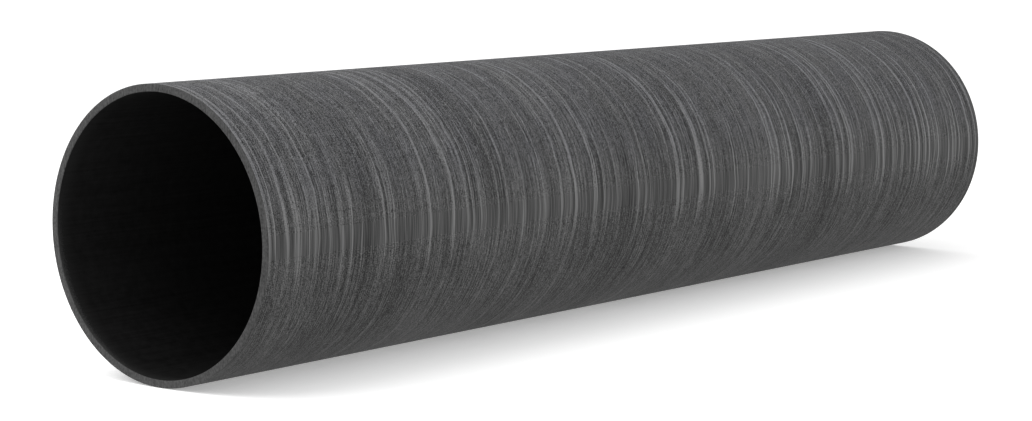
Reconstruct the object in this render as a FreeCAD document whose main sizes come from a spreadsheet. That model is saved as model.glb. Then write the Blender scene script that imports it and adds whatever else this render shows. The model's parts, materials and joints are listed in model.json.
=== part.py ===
"""Sleeve pipe: one plain-ended length of seamless steel pipe, DN 150, lying on its side.

The pipe lines an opening through a wall or a floor, so that a service pipe can pass through it.
It is one rolled piece. Its section is a plain ring, both ends are cut square to the axis, and the
four edges of the cuts are broken by a small chamfer.

Frame: millimetres, +Z up. The origin is on the axis at mid-length, and +Y runs along the axis from
the front mouth to the back mouth. The pipe rests on the line of its outside that is lowest in Z.
"""

import os

import FreeCAD
import Part
import Sketcher

DIMENSIONS = (
    # alias, value, what it is
    ("outside_diameter", 168.3, "outside diameter of the pipe, DN 150"),
    ("wall_thickness", 4.5, "thickness of the pipe's wall"),
    ("pipe_length", 790.0, "length over both square-cut ends"),
    ("edge_break", 0.3, "chamfer that breaks each sharp edge of the cuts"),
)
ORIGIN = FreeCAD.Vector(0, 0, 0)
SKETCH_NORMAL = FreeCAD.Vector(0, 0, 1)
CIRCLE_CENTRE = 3  # the sketcher's number for a circle's centre point
SKETCH_ORIGIN = (-1, 1)  # the sketcher's numbers for its own origin point


def make_sheet(doc):
    """The driving dimensions, one row each, as plain numbers with an alias."""
    sheet = doc.addObject("Spreadsheet::Sheet", "Dimensions")
    for row, (alias, value, note) in enumerate(DIMENSIONS, start=1):
        sheet.set(f"A{row}", alias)
        sheet.set(f"B{row}", str(value))
        sheet.set(f"C{row}", note)
        sheet.setAlias(f"B{row}", alias)
    doc.recompute()
    return sheet


def origin_plane(body, role):
    """The body's own origin plane with that role."""
    return next(part for part in body.Origin.OriginFeatures if part.Role == role)


def add_ring_sketch(body):
    """The pipe's section across its axis: two circles about the origin, for the outside and the bore."""
    sketch = body.newObject("Sketcher::SketchObject", "RingSection")
    sketch.AttachmentSupport = (origin_plane(body, "XZ_Plane"), [""])
    sketch.MapMode = "FlatFace"
    circles = (
        # name, the radius it is first drawn with, the formula that then drives it
        ("outside_radius", 80.0, "Dimensions.outside_diameter / 2"),
        ("bore_radius", 75.0, "Dimensions.outside_diameter / 2 - Dimensions.wall_thickness"),
    )
    for name, first_radius, formula in circles:
        circle = sketch.addGeometry(Part.Circle(ORIGIN, SKETCH_NORMAL, first_radius), False)
        sketch.addConstraint(Sketcher.Constraint("Coincident", circle, CIRCLE_CENTRE, *SKETCH_ORIGIN))
        radius = sketch.addConstraint(Sketcher.Constraint("Radius", circle, first_radius))
        sketch.renameConstraint(radius, name)
        sketch.setExpression(f".Constraints.{name}", formula)
    return sketch


def add_wall(body, section):
    """The ring drawn out along the axis, half to each side of the origin."""
    wall = body.newObject("PartDesign::Pad", "Wall")
    wall.Profile = section
    wall.Midplane = True
    wall.setExpression("Length", "Dimensions.pipe_length")
    return wall


def end_edges(wall):
    """The names of the circular edges that bound the two cut ends."""
    names = []
    for number, edge in enumerate(wall.Shape.Edges, start=1):
        if isinstance(edge.Curve, Part.Circle) and edge.isClosed():
            names.append(f"Edge{number}")
    return names


def add_edge_break(body, wall):
    """A small chamfer on the outer and inner edge of each end."""
    chamfer = body.newObject("PartDesign::Chamfer", "EdgeBreak")
    chamfer.Base = (wall, end_edges(wall))
    chamfer.setExpression("Size", "Dimensions.edge_break")
    return chamfer


def make_sleeve_pipe(doc):
    """The pipe as one body: ring section, wall, and broken edges."""
    body = doc.addObject("PartDesign::Body", "SleevePipe")
    body.Label = "sleeve_pipe"
    section = add_ring_sketch(body)
    doc.recompute()
    wall = add_wall(body, section)
    doc.recompute()
    add_edge_break(body, wall)
    doc.recompute()
    body.Placement = FreeCAD.Placement(ORIGIN, FreeCAD.Rotation())
    return body


def check(doc, bodies):
    """Stops the build if an object failed to compute, or a sub-part has no valid solid."""
    for thing in doc.Objects:
        if {"Invalid", "Error"} & set(thing.State):
            raise RuntimeError(f"{thing.Label} failed to compute: {thing.State}")
    for body in bodies:
        shape = body.Shape
        if shape.isNull() or not shape.isValid() or len(shape.Solids) != 1:
            raise RuntimeError(f"{body.Label} has no single valid solid")


def main():
    doc = FreeCAD.newDocument("SleevePipe")
    make_sheet(doc)
    bodies = [make_sleeve_pipe(doc)]
    doc.recompute()
    check(doc, bodies)
    os.makedirs("parts", exist_ok=True)
    for body in bodies:
        body.Shape.exportStep(f"parts/{body.Label}.step")
        box = body.Shape.BoundBox
        print(body.Label, "volume mm3", round(body.Shape.Volume, 1))
        print("  box", [round(v, 3) for v in (box.XMin, box.YMin, box.ZMin, box.XMax, box.YMax, box.ZMax)])


main()
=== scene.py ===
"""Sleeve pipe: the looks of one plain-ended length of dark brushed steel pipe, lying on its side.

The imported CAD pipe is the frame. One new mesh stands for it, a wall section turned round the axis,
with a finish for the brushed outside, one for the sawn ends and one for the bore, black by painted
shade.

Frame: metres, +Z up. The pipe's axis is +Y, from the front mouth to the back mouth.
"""

import json
import math

import bpy
import numpy as np
from bpy.props import FloatProperty, FloatVectorProperty, IntProperty, PointerProperty
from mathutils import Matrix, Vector


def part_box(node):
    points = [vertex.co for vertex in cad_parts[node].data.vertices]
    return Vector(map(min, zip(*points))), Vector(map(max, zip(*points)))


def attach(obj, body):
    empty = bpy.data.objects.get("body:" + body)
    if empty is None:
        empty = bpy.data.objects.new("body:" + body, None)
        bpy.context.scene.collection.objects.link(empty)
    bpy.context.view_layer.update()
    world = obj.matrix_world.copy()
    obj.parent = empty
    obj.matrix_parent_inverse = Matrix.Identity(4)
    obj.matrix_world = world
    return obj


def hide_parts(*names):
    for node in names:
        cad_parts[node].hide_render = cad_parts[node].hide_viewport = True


bl_info = {
    "name": "Sleeve Pipe",
    "version": (1, 0, 0),
    "blender": (4, 5, 0),
    "location": "3D View > Sidebar > Sleeve Pipe",
    "description": "Builds a dark brushed steel sleeve pipe round its packed CAD model",
    "category": "Object",
}

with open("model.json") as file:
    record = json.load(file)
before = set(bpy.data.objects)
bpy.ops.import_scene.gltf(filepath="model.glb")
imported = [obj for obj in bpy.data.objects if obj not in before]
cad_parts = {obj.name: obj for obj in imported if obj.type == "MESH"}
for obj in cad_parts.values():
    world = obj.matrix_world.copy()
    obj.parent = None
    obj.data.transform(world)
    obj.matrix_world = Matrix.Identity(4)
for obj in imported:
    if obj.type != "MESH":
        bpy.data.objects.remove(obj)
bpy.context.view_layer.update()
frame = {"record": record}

MM = 0.001
PIPE_NODE = "sleeve_pipe"


def outside_radius():
    """The largest radius that stays inside the CAD pipe's box on every side."""
    low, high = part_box(PIPE_NODE)
    return min(-low.x, high.x, -low.z, high.z)


def bore_radius():
    """The bore's radius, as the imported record's bore mount states it."""
    bore = next(m for m in frame["record"]["mounts"] if m["name"] == "bore")
    return bore["dims"]["r_mm"] * MM


# ---------------------------------------------------------------------------- what a user may change


class SleevePipeShape(bpy.types.PropertyGroup):
    """Sizes of the pipe's mesh."""

    edge_round: FloatProperty(
        name="Edge round", description="Radius that the sawn edges are broken to",
        default=0.35 * MM, min=0.05 * MM, max=2 * MM, unit="LENGTH", precision=5)
    roll_depth: FloatProperty(
        name="Roll marks", description="Depth of the slow hollows that rolling left in the outside",
        default=0.08 * MM, min=0, max=1 * MM, unit="LENGTH", precision=5)
    steps_round: IntProperty(
        name="Steps round", description="Faces round the pipe", default=320, min=24, max=400)
    steps_along: IntProperty(
        name="Steps along", description="Faces along the outside", default=170, min=4, max=400)


class SleevePipeColours(bpy.types.PropertyGroup):
    """Colours of the pipe's finishes."""

    scale_dark: FloatVectorProperty(
        name="Dark scale", description="Darkest of the steel's outside", subtype="COLOR",
        size=4, default=(0.018, 0.018, 0.018, 1), min=0, max=1)
    scale_light: FloatVectorProperty(
        name="Bright streak", description="Lightest of the brushed streaks", subtype="COLOR",
        size=4, default=(0.215, 0.215, 0.215, 1), min=0, max=1)
    blued: FloatVectorProperty(
        name="Blued film", description="Colour that the thin film on the upper part lets through",
        subtype="COLOR", size=4, default=(0.95, 0.955, 1.0, 1), min=0, max=1)
    sawn_dark: FloatVectorProperty(
        name="Dark sawn steel", description="Darkest of the sawn ends", subtype="COLOR",
        size=4, default=(0.022, 0.022, 0.022, 1), min=0, max=1)
    sawn_light: FloatVectorProperty(
        name="Light sawn steel", description="Lightest of the sawn ends", subtype="COLOR",
        size=4, default=(0.108, 0.108, 0.108, 1), min=0, max=1)
    # Painted shade: the bore's black stands for the shade inside the pipe.
    bore_painted_dark: FloatVectorProperty(
        name="Bore", description="The bore's black coat", subtype="COLOR",
        size=4, default=(0.005, 0.005, 0.005, 1), min=0, max=1)
    # The bore's lighter colour: its dust mottle, and the painted light near the mouths and along the -X
    # side.
    bore_dust_and_painted_light: FloatVectorProperty(
        name="Bore dust", description="Where the bore's coat is thin or dusty", subtype="COLOR",
        size=4, default=(0.020, 0.020, 0.020, 1), min=0, max=1)
    # Painted light: the pool of light just inside the mouths, low on the -X side.
    mouth_painted_light: FloatVectorProperty(
        name="Mouth dust", description="Pale dust low on one side, just inside the mouths",
        subtype="COLOR", size=4, default=(0.056, 0.056, 0.056, 1), min=0, max=1)


class SleevePipeStage(bpy.types.PropertyGroup):
    """Where the camera stands and how the studio is lit."""

    azimuth: FloatProperty(
        name="Azimuth", description="Turn of the camera round the pipe, from straight in front",
        default=math.radians(37.954), subtype="ANGLE")
    elevation: FloatProperty(
        name="Elevation", description="Height of the camera above the horizon",
        default=math.radians(6.602), subtype="ANGLE")
    distance: FloatProperty(
        name="Distance", description="From the camera to the point it looks at",
        default=1.6731, min=0.1, unit="LENGTH")
    aim: FloatVectorProperty(
        name="Aim", description="The point it looks at", size=3, subtype="XYZ", unit="LENGTH",
        default=(0, -0.0743, -0.0148))
    lens: FloatProperty(
        name="Lens", description="Focal length, in millimetres", default=90.37, min=10, unit="CAMERA")
    sky: FloatProperty(
        name="Sky", description="Strength of the light from all round", default=0.85, min=0)
    floor_light: FloatProperty(
        name="Floor light", description="Strength of the light that the floor sends up to the pipe",
        default=0.85, min=0)
    floor_glow: FloatProperty(
        name="Floor glow", description="How far the floor's shadow is lightened to the camera",
        default=0.3, min=0, max=1, subtype="FACTOR")
    front_lamp: FloatProperty(
        name="Front lamp", description="Power of the soft lamp over the front end, in watts",
        default=10, min=0)
    side_lamp: FloatProperty(
        name="Side lamp", description="Power of the soft lamp beside the back end, in watts",
        default=6, min=0)


# ------------------------------------------------------------------------------------- shader writing

SEED_SHIFT = (17.3, 9.1, 31.7)  # how far one seed moves a grain along X, Y and Z, in blobs


class Field:
    """A number, a colour or a vector that changes over the surface. Arithmetic adds Math nodes."""

    def __init__(self, finish, socket):
        self.finish = finish
        self.socket = socket

    def maths(self, operation, *values):
        return self.finish.node("ShaderNodeMath", {"operation": operation}, dict(enumerate(values)))

    def __add__(self, other):
        return self.maths("ADD", self, other)

    def __sub__(self, other):
        return self.maths("SUBTRACT", self, other)

    def __rsub__(self, other):
        return self.maths("SUBTRACT", other, self)

    def __mul__(self, other):
        return self.maths("MULTIPLY", self, other)

    def __truediv__(self, other):
        return self.maths("DIVIDE", self, other)

    __radd__ = __add__
    __rmul__ = __mul__

    def absolute(self):
        return self.maths("ABSOLUTE", self)

    def above(self, level):
        """1 where it is more than level, and 0 elsewhere."""
        return self.maths("GREATER_THAN", self, level)

    def clamped(self, low=0.0, high=1.0):
        return self.maths("MINIMUM", self.maths("MAXIMUM", self, low), high)

    def ramped(self, start, end, unit=1.0):
        """0 below start, 1 above end, and a smooth rise between them. Both are counted in unit."""
        settings = {"interpolation_type": "SMOOTHSTEP"}
        sockets = {"Value": self, "From Min": start * unit, "From Max": end * unit}
        return self.finish.node("ShaderNodeMapRange", settings, sockets)


class Finish:
    """A material or a world being written: its node tree, and the one way that nodes are added to it."""

    def __init__(self, owner):
        owner.use_nodes = True
        self.owner = owner
        self.tree = owner.node_tree
        self.tree.nodes.clear()

    def node(self, kind, settings=None, sockets=None, output=0):
        """Adds a node, sets its settings and then its sockets' values or links, and gives one output."""
        made = self.tree.nodes.new(kind)
        for name, value in (settings or {}).items():
            setattr(made, name, value)
        for key, value in (sockets or {}).items():
            if isinstance(value, Field):
                self.tree.links.new(value.socket, made.inputs[key])
            else:
                made.inputs[key].default_value = value
        return Field(self, made.outputs[output]) if made.outputs else None

    def beside(self, field, names):
        """The outputs with those names, of the node that field comes from."""
        return [Field(self, field.socket.node.outputs[name]) for name in names]

    def place(self):
        """Object coordinates, in metres."""
        return self.node("ShaderNodeTexCoord", output="Object")

    def split(self, vector):
        """The three numbers of a vector."""
        return self.beside(self.node("ShaderNodeSeparateXYZ", sockets={0: vector}), "XYZ")

    def join(self, x, y, z):
        return self.node("ShaderNodeCombineXYZ", sockets={0: x, 1: y, 2: z})

    def grain(self, place, size, seed, detail=2.0, roughness=0.5):
        """Noise whose blobs are about size across, in millimetres along X, Y and Z. seed shifts it."""
        scale = [1 / (length * MM) for length in size]
        shift = [seed * step for step in SEED_SHIFT]
        moved = self.node("ShaderNodeMapping", {"vector_type": "POINT"},
                          {"Vector": place, "Location": shift, "Scale": scale})
        sockets = {"Vector": moved, "Scale": 1.0, "Detail": detail, "Roughness": roughness}
        return self.node("ShaderNodeTexNoise", {"noise_dimensions": "3D"}, sockets)

    def uneven(self, place, size, seed, **settings):
        """The same noise about zero, so that it lightens as much as it darkens."""
        return self.grain(place, size, seed, **settings) - 0.5

    def blend(self, factor, first, second, kind="MIX"):
        """A colour from first to second as factor goes from 0 to 1. kind is how second is laid on."""
        settings = {"data_type": "RGBA", "clamp_factor": True, "blend_type": kind}
        return self.node("ShaderNodeMix", settings, {0: factor, 6: first, 7: second}, output=2)

    def bump(self, height, depth):
        return self.node("ShaderNodeBump", sockets={"Height": height, "Distance": depth})

    def surface(self, **sockets):
        """The Principled surface that ends the tree. Socket names have _ for a space."""
        named = {name.replace("_", " "): value for name, value in sockets.items()}
        shader = self.node("ShaderNodeBsdfPrincipled", sockets=named)
        self.node("ShaderNodeOutputMaterial", sockets={"Surface": shader})
        return self.owner


# --------------------------------------------------------------------------------------- the finishes

STRIP_HALF_TURN = math.radians(4.6)  # half of the turn that the strip on each flank takes up
SWAY = 4.0 * MM  # the widest that a streak wanders along the pipe
HIGHLIGHT_INSET = 1.4 * MM  # from the front mouth to the middle of its painted highlight, a bright ring
HIGHLIGHT_HALF_WIDTH = (0.6, 1.5)  # millimetres from the painted highlight's middle: where it starts to fade, and ends
HAIR_DARKEST = -0.11  # dark hairs go no deeper than this, and bright ones have no such limit
PAINTED_LIGHT_SLANT = 0.4  # how fast the sawn ends' painted light changes up and down, against 1 from side to side
MOUTH_LIGHT_DEPTH = 13.0  # millimetres into the bore over which the painted light at its mouths fades
MOUTH_LIGHT_RAGGED = 8  # millimetres by which dust makes that fade uneven
MOUTH_POOL_DEPTH = (0.3, 4.5)  # millimetres from a mouth: where its pool of painted light starts to fade, and ends
MOUTH_POOL_RAGGED = 7  # millimetres by which specks make that fade uneven
MOUTH_POOL_SIDE = (-0.85, -0.53)  # X and Z of the way from the axis to the middle of the pool of painted light
BRUSH_DEPTH = 0.06 * MM  # height of the bump on the outside
SAW_DEPTH = 0.05 * MM  # height of the bump on the sawn ends
BORE_BUMP_DEPTH = 0.1 * MM  # height of the bump in the bore


def brushed_outside(colours, radius, half_length):
    """Dark scale under an even fine grain, with bright and dark brush streaks that run round the pipe.

    Every pattern is solid noise: fine along the axis, long across it, so a streak keeps its place along
    the pipe and carries on round it. Along each flank lies a narrow strip with no fine grain, where the
    lines run straight and hard. The streaks are worn bright on the upper part and fade below the strip.
    Painted light and shade make the crown a shade lighter and the lower part a little darker. The upper
    part also has a painted highlight, a thin bright ring just behind the front mouth, and a faint blue
    film.
    """
    finish = Finish(bpy.data.materials.new("brushed_outside"))
    place = finish.place()
    x, y, z = finish.split(place)
    strip = radius * math.cos(STRIP_HALF_TURN)
    in_strip = x.absolute().above(strip)
    x = x.clamped(-strip, strip)
    still = finish.join(x, y, z)
    sway = finish.uneven(still, size=(30, 20, 30), seed=1, detail=1.0)
    swayed = finish.join(x, y + sway * SWAY, z)

    # The marks, from the finest to the broadest along the pipe.
    speck = finish.uneven(place, size=(0.6, 0.5, 0.6), seed=2, detail=0.0) * (1 - in_strip)
    grit = finish.uneven(place, size=(1.4, 0.5, 4), seed=8, detail=0.0) * (1 - in_strip)
    stroke = finish.uneven(still, size=(6, 0.5, 30), seed=10, detail=0.5)
    hair = finish.uneven(still, size=(45, 0.5, 80), seed=3, detail=0.5).clamped(HAIR_DARKEST, 0.5)
    line = finish.uneven(swayed, size=(220, 2.1, 280), seed=4, detail=1.0, roughness=0.4)
    band = finish.uneven(swayed, size=(200, 3.4, 240), seed=5, detail=1.0, roughness=0.5)
    fade = finish.grain(swayed, size=(240, 4, 300), seed=6, detail=1.0)
    tone = finish.uneven(still, size=(160, 45, 160), seed=7, detail=2.0)

    # How each height of the pipe takes them, counted in radii above the axis.
    crown = z.ramped(0.10, 0.85, radius)
    upper = z.ramped(-0.35, 0.02, radius)
    grainy = 0.5 + z.ramped(-0.95, -0.35, radius) * 0.5
    # Painted shade: the colour of the lower part is made a little darker.
    under = (1 - z.ramped(-0.50, 0.25, radius)) * z.ramped(-1.35, -0.60, radius)
    brushed = 0.15 + upper * 0.85 - crown * 0.20

    # The painted highlight: a bright ring behind the front mouth, on the upper part only.
    from_highlight = ((y + (half_length - HIGHLIGHT_INSET)) / MM).absolute()
    ring = (1 - from_highlight.ramped(*HIGHLIGHT_HALF_WIDTH)) * upper

    # The fine grain, the bright streaks with their ragged edges, and the sum of it all: the scale's own
    # tone with painted light on the crown, and what each mark adds to it or takes from it.
    mottle = (speck * (0.95 + crown * 0.55) + grit * (0.45 + crown * 0.15) + stroke * 0.6
              + hair * (0.75 + in_strip * 0.2)) * grainy
    ragged = speck * 0.16 + stroke * 0.12
    lasting = fade - crown * 0.04
    bright = ((line + ragged).ramped(0.04, 0.17) * lasting.ramped(0.32, 0.52) * 0.46
              + (band + ragged).ramped(0.11, 0.20) * lasting.ramped(0.36, 0.50) * 0.20)
    streaks = (line * 0.22 + band * 0.2 + bright) * brushed
    # Painted light: the crown term makes the top a shade lighter.
    plain = 0.278 + crown * 0.028
    # The ring adds its painted highlight, and under takes off the painted shade of the lower part.
    shade = plain + mottle + streaks + tone * 0.2 + ring * 0.38 - under * 0.09
    colour = finish.blend(shade.clamped(), colours.scale_dark[:], colours.scale_light[:])

    film = finish.grain(still, size=(18, 14, 60), seed=9, detail=2.0)
    filmed = z.ramped(0.05, 0.50, radius) * (0.5 + film.ramped(0.35, 0.65) * 0.5)
    colour = finish.blend(filmed, colour, colours.blued[:], "MULTIPLY")
    rough = (0.80 - bright * 0.15 - mottle * 0.2).clamped(0.3, 1.0)
    height = mottle + hair * 0.8 + line * 0.4
    return finish.surface(
        Base_Color=colour, Roughness=rough, Metallic=0.0, Specular_IOR_Level=0.08,
        Normal=finish.bump(height, BRUSH_DEPTH))


def sawn_end(colours, radius):
    """Sawn steel: upright saw lines across the face, and a fine mottle.

    It is a shade lighter towards -X and below, by painted light.
    """
    finish = Finish(bpy.data.materials.new("sawn_end"))
    place = finish.place()
    x, _, z = finish.split(place)
    speck = finish.uneven(place, size=(1.0, 1.0, 1.6), seed=11, detail=1.0, roughness=0.6)
    saw = finish.uneven(place, size=(0.9, 30, 14), seed=12, detail=1.0)
    patch = finish.uneven(place, size=(16, 16, 16), seed=13, detail=2.0)
    # Painted light: the colour lightens towards -X and below, standing for how light falls across the
    # face.
    painted_side_light = (x + z * PAINTED_LIGHT_SLANT) / (-2 * radius)
    shade = 0.42 + speck * 1.3 + saw * 0.7 + patch * 0.25 + painted_side_light * 0.12
    colour = finish.blend(shade.clamped(), colours.sawn_dark[:], colours.sawn_light[:])
    return finish.surface(
        Base_Color=colour, Roughness=(0.75 - saw * 0.3).clamped(0.3, 1.0), Metallic=0.05,
        Specular_IOR_Level=0.2, Normal=finish.bump(speck + saw, SAW_DEPTH))


def black_bore(colours, radius, half_length):
    """The bore's matt black, painted shade for the pipe's dark inside, with long faint lines along it.

    By painted light and shade it is darker along the top and lighter along the -X side and near the
    mouths. Just inside each mouth, low on the -X side, lies a little pool of painted light.
    """
    finish = Finish(bpy.data.materials.new("black_bore"))
    place = finish.place()
    x, y, z = finish.split(place)
    dust = finish.uneven(place, size=(5, 5, 5), seed=21, detail=4.0, roughness=0.6)
    draw = finish.uneven(place, size=(1.5, 90, 1.5), seed=22, detail=2.0)
    from_end = (half_length - y.absolute()) / MM
    mouth = 1 - (from_end + dust * MOUTH_LIGHT_RAGGED).ramped(0.0, MOUTH_LIGHT_DEPTH)
    side = (x / -radius).ramped(0.2, 1.0)
    top = z.ramped(0.45, 0.95, radius)
    # Painted light and shade: lighter near the mouths and along the -X side, darker along the top.
    shade = 0.17 + dust * 0.9 + draw * 0.6 + mouth * (0.6 - top * 0.55) + side * 0.30 - top * 0.2
    colour = finish.blend(shade.clamped(), colours.bore_painted_dark[:], colours.bore_dust_and_painted_light[:])

    speck = finish.uneven(place, size=(0.8, 0.8, 0.8), seed=23, detail=1.0)
    # The pool of painted light, low on the -X side just inside each mouth.
    low = (x * MOUTH_POOL_SIDE[0] + z * MOUTH_POOL_SIDE[1]).ramped(0.6, 1.0, radius)
    edge = 1 - (from_end + speck * MOUTH_POOL_RAGGED).ramped(*MOUTH_POOL_DEPTH)
    colour = finish.blend(low * edge, colour, colours.mouth_painted_light[:])
    return finish.surface(
        Base_Color=colour, Roughness=(0.85 + dust * 0.3).clamped(0.5, 1.0), Metallic=0.0,
        Specular_IOR_Level=0.05, Normal=finish.bump(dust + draw * 0.5, BORE_BUMP_DEPTH))


# ------------------------------------------------------------------------------------------- the mesh

OUTSIDE, SAWN, BORE = range(3)  # the places of the three finishes in the mesh
CORNER_STEPS = 4  # faces round each broken edge
CUT_STEPS = 7  # faces across each cut, between its broken edges
ROLL_WAVES = (
    # strength, waves round the pipe, radians along half of its length, and radians at its start
    (1.0, 2, 0.9, 0.4),
    (0.6, 3, -2.1, 1.9),
    (0.4, 5, 6.3, 0.0),
    (0.3, 1, 23.0, 0.7),
)


def corner(centre, radius, start_turn):
    """A quarter round: points at equal turns round centre, from start_turn degrees down."""
    turn = np.radians(start_turn) - np.linspace(0, np.pi / 2, CORNER_STEPS + 1)
    return np.stack([centre[0] + radius * np.cos(turn), centre[1] + radius * np.sin(turn)], 1)


def wall_section(shape, outside, bore, half_length):
    """The wall's closed outline, as points (along the axis, from the axis), and each point's finish.

    It goes along the outside to the back, round a quarter circle, down the back cut, round a quarter
    circle into the bore, along the bore to the front, and up the front cut the same way. Each straight
    run has evenly spaced points and stops one edge radius short of the quarter circle, which keeps the
    smooth shading of the edge off the long faces.
    """
    r = shape.edge_round
    reach = half_length - 2 * r
    along = np.linspace(-reach, reach, shape.steps_along + 1)
    inner = np.linspace(reach, -reach, shape.steps_along // 2 + 1)
    across = np.linspace(outside - 2 * r, bore + 2 * r, CUT_STEPS + 1)
    outside_run = np.stack([along, np.full_like(along, outside)], 1)
    bore_run = np.stack([inner, np.full_like(inner, bore)], 1)
    back_cut = np.stack([np.full_like(across, half_length), across], 1)
    front_cut = np.stack([np.full_like(across, -half_length), across[::-1]], 1)
    stretches = [
        (outside_run, OUTSIDE),
        (corner((half_length - r, outside - r), r, 90), SAWN),
        (back_cut, SAWN),
        (corner((half_length - r, bore + r), r, 0), SAWN),
        (bore_run, BORE),
        (corner((-half_length + r, bore + r), r, -90), SAWN),
        (front_cut, SAWN),
        (corner((-half_length + r, outside - r), r, 180), SAWN),
    ]
    points = np.concatenate([run for run, _ in stretches])
    finishes = np.concatenate([np.full(len(run), kind) for run, kind in stretches])
    return points, finishes


def roll_marks(along, turn, half_length):
    """How deep the outside lies under its nominal radius, from 0 to 1.

    It is a sum of slow waves. Each is its strength times the cosine of its waves round times the turn,
    plus its radians along times the place in half lengths, plus its start. The sum is divided by all the
    strengths, halved, and raised by a half.
    """
    share = along / half_length
    waves = sum(strength * np.cos(count * turn + lengthwise * share + start)
                for strength, count, lengthwise, start in ROLL_WAVES)
    strengths = sum(wave[0] for wave in ROLL_WAVES)
    return 0.5 + 0.5 * waves / strengths


def ring_mesh(name, shape, outside, bore, half_length):
    """The wall's closed outline turned once round the Y axis, as a grid of quads closed both ways.

    A point's X is its radius times the sine of its turn, its Z is its radius times the cosine, and its
    Y is its place along the axis. The roll marks lower the outside by their depth, fade to nothing
    through the wall, and leave the bore round.
    """
    section, finishes = wall_section(shape, outside, bore, half_length)
    rows, columns = len(section), shape.steps_round
    turn = np.linspace(0, 2 * np.pi, columns, endpoint=False)
    along = np.repeat(section[:, :1], columns, 1)
    radius = np.repeat(section[:, 1:], columns, 1)
    outward = np.clip((radius - bore) / (outside - bore), 0, 1)
    radius = radius - outward * shape.roll_depth * roll_marks(along, turn[None, :], half_length)
    points = np.stack([radius * np.sin(turn), along, radius * np.cos(turn)], 2).reshape(-1, 3)

    row, column = np.meshgrid(np.arange(rows), np.arange(columns), indexing="ij")
    next_row, next_column = (row + 1) % rows, (column + 1) % columns
    quads = np.stack([row * columns + column, row * columns + next_column,
                      next_row * columns + next_column, next_row * columns + column], 2).reshape(-1, 4)
    # A quad that joins a cut to the outside or the bore has their finish, not the cut's.
    kinds = np.where(finishes == SAWN, np.roll(finishes, -1), finishes)

    mesh = bpy.data.meshes.new(name)
    mesh.vertices.add(len(points))
    mesh.vertices.foreach_set("co", points.ravel())
    mesh.loops.add(quads.size)
    mesh.loops.foreach_set("vertex_index", quads.ravel())
    mesh.polygons.add(len(quads))
    mesh.polygons.foreach_set("loop_start", np.arange(0, quads.size, 4))
    mesh.update(calc_edges=True)
    mesh.polygons.foreach_set("material_index", np.repeat(kinds, columns).astype(np.int32))
    mesh.polygons.foreach_set("use_smooth", np.ones(len(quads), bool))
    mesh.validate()
    return mesh


class OBJECT_OT_sleeve_pipe_wall(bpy.types.Operator):
    """Adds the pipe's wall: the outside, the sawn ends and the bore, as one closed mesh"""

    bl_idname = "sleeve_pipe.wall"
    bl_label = "Pipe wall"

    def execute(self, context):
        settings = context.scene.sleeve_pipe
        colours = settings.colours
        low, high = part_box(PIPE_NODE)
        half_length = (high.y - low.y) / 2
        outside = outside_radius()
        mesh = ring_mesh("pipe_wall", settings.shape, outside, bore_radius(), half_length)
        materials = {
            OUTSIDE: brushed_outside(colours, outside, half_length),
            SAWN: sawn_end(colours, outside),
            BORE: black_bore(colours, outside, half_length),
        }
        for kind in sorted(materials):
            mesh.materials.append(materials[kind])
        pipe = bpy.data.objects.new("pipe_wall", mesh)
        context.scene.collection.objects.link(pipe)
        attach(pipe, "root")
        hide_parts(PIPE_NODE)
        return {"FINISHED"}


# ------------------------------------------------------------------------------------------ the stage

WHITE = (1, 1, 1, 1)
FLOOR_HALF = 40.0  # metres from the middle of the floor to its edges
LAMP_SIZE = 1.2  # metres along each side of a square lamp
LAMPS = (
    # the lamp, named as the stage's setting for its power, where it hangs and the point it faces
    ("front_lamp", (-0.4, -0.9, 0.9), (0, -0.4, 0)),
    ("side_lamp", (1.5, 1.2, 0.5), (0, 0.3, 0)),
)


def seen_rays(finish):
    """1 for the rays that see the backdrop: straight from the camera, off gloss or through glass."""
    names = ("Is Camera Ray", "Is Glossy Ray", "Is Transmission Ray")
    camera, gloss, glass = finish.beside(finish.node("ShaderNodeLightPath"), names)
    return (camera + gloss + glass).clamped()


def floor_material(stage):
    """Pale floor. The rays that see the backdrop find it white, with the pipe's shadow on it.

    To all other rays it is an even light, which reaches the pipe from below.
    """
    finish = Finish(bpy.data.materials.new("pale_floor"))
    uplight = finish.node("ShaderNodeEmission", sockets={"Strength": stage.floor_light})
    lit = finish.node("ShaderNodeBsdfDiffuse", sockets={"Color": WHITE})
    glow = finish.node("ShaderNodeEmission", sockets={"Strength": stage.floor_glow})
    white = finish.node("ShaderNodeAddShader", sockets={0: lit, 1: glow})
    mixed = finish.node("ShaderNodeMixShader", sockets={0: seen_rays(finish), 1: uplight, 2: white})
    finish.node("ShaderNodeOutputMaterial", sockets={"Surface": mixed})
    return finish.owner


def lay_floor(context, stage, height):
    """A large square floor at height."""
    corners = [(-FLOOR_HALF, -FLOOR_HALF, height), (FLOOR_HALF, -FLOOR_HALF, height),
               (FLOOR_HALF, FLOOR_HALF, height), (-FLOOR_HALF, FLOOR_HALF, height)]
    mesh = bpy.data.meshes.new("floor")
    mesh.from_pydata(corners, [], [(0, 1, 2, 3)])
    mesh.materials.append(floor_material(stage))
    floor = bpy.data.objects.new("floor", mesh)
    context.scene.collection.objects.link(floor)


def light_sky(context, stage):
    """Light from all round, the same from every side, and plain white where it is seen."""
    finish = Finish(bpy.data.worlds.new("studio"))
    light = finish.node("ShaderNodeBackground", sockets={"Color": WHITE, "Strength": stage.sky})
    backdrop = finish.node("ShaderNodeBackground", sockets={"Color": WHITE, "Strength": 1.0})
    mixed = finish.node("ShaderNodeMixShader", sockets={0: seen_rays(finish), 1: light, 2: backdrop})
    finish.node("ShaderNodeOutputWorld", sockets={"Surface": mixed})
    context.scene.world = finish.owner


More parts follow.
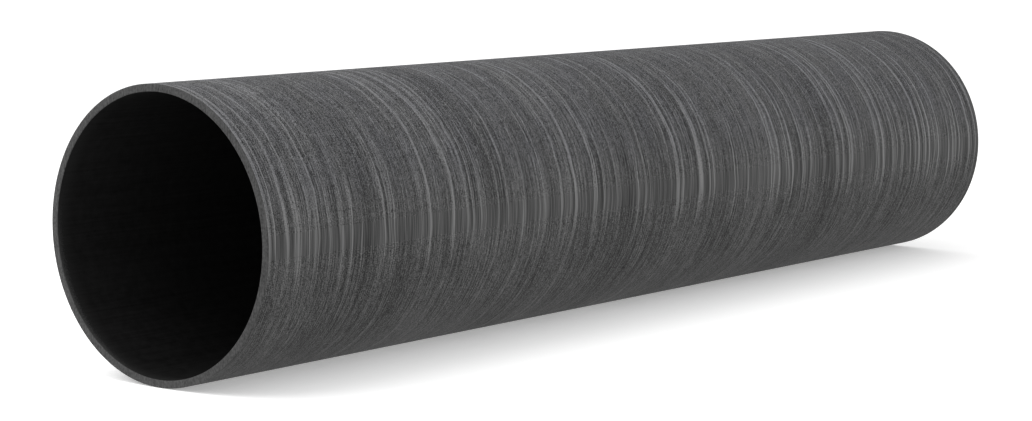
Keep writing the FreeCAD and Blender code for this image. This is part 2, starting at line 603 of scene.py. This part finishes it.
def hang_lamp(context, name, power, place, aim):
    """A large soft square lamp at place, pointing at aim."""
    data = bpy.data.lights.new(name, "AREA")
    data.shape = "SQUARE"
    data.size = LAMP_SIZE
    data.energy = power
    lamp = bpy.data.objects.new(name, data)
    lamp.location = place
    lamp.rotation_euler = (Vector(aim) - lamp.location).to_track_quat("-Z", "Y").to_euler()
    context.scene.collection.objects.link(lamp)


def stand_camera(context, stage):
    """The camera, at its distance from the point it looks at, turned and raised as the stage says."""
    back = Vector((math.sin(stage.azimuth) * math.cos(stage.elevation),
                   -math.cos(stage.azimuth) * math.cos(stage.elevation), math.sin(stage.elevation)))
    data = bpy.data.cameras.new("camera")
    data.lens = stage.lens
    camera = bpy.data.objects.new("camera", data)
    camera.location = Vector(stage.aim) + back * stage.distance
    camera.rotation_euler = (-back).to_track_quat("-Z", "Y").to_euler()
    context.scene.collection.objects.link(camera)
    context.scene.camera = camera


class OBJECT_OT_sleeve_pipe_stage(bpy.types.Operator):
    """Sets the stage: the pale floor, the soft studio light and the camera"""

    bl_idname = "sleeve_pipe.stage"
    bl_label = "Stage"

    def execute(self, context):
        stage = context.scene.sleeve_pipe.stage
        low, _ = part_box(PIPE_NODE)
        lay_floor(context, stage, low.z)
        light_sky(context, stage)
        for name, place, aim in LAMPS:
            hang_lamp(context, name, getattr(stage, name), place, aim)
        stand_camera(context, stage)
        context.scene.view_settings.view_transform = "Standard"
        return {"FINISHED"}


# -------------------------------------------------------------------------------------- the add-on


class SleevePipeSettings(bpy.types.PropertyGroup):
    """All the settings of the sleeve pipe."""

    shape: PointerProperty(
        type=SleevePipeShape, name="Shape", description="Sizes of the mesh")
    colours: PointerProperty(
        type=SleevePipeColours, name="Colours", description="Colours of the finishes")
    stage: PointerProperty(
        type=SleevePipeStage, name="Stage", description="Camera and light")


class VIEW3D_PT_sleeve_pipe(bpy.types.Panel):
    """Lists the sleeve pipe's operators and settings."""

    bl_label = "Sleeve Pipe"
    bl_space_type = "VIEW_3D"
    bl_region_type = "UI"
    bl_category = "Sleeve Pipe"

    def draw(self, context):
        settings = context.scene.sleeve_pipe
        for operator in OPERATORS:
            self.layout.operator(operator.bl_idname)
        for group in (settings.shape, settings.colours, settings.stage):
            box = self.layout.box()
            for name in group.__annotations__:
                box.prop(group, name)


OPERATORS = (OBJECT_OT_sleeve_pipe_wall, OBJECT_OT_sleeve_pipe_stage)
CLASSES = (SleevePipeShape, SleevePipeColours, SleevePipeStage, SleevePipeSettings, *OPERATORS,
           VIEW3D_PT_sleeve_pipe)


def register():
    for cls in CLASSES:
        bpy.utils.register_class(cls)
    bpy.types.Scene.sleeve_pipe = PointerProperty(type=SleevePipeSettings)


def unregister():
    del bpy.types.Scene.sleeve_pipe
    for cls in reversed(CLASSES):
        bpy.utils.unregister_class(cls)


def main():
    register()
    bpy.ops.sleeve_pipe.wall()
    bpy.ops.sleeve_pipe.stage()


if __name__ == "__main__":
    main()
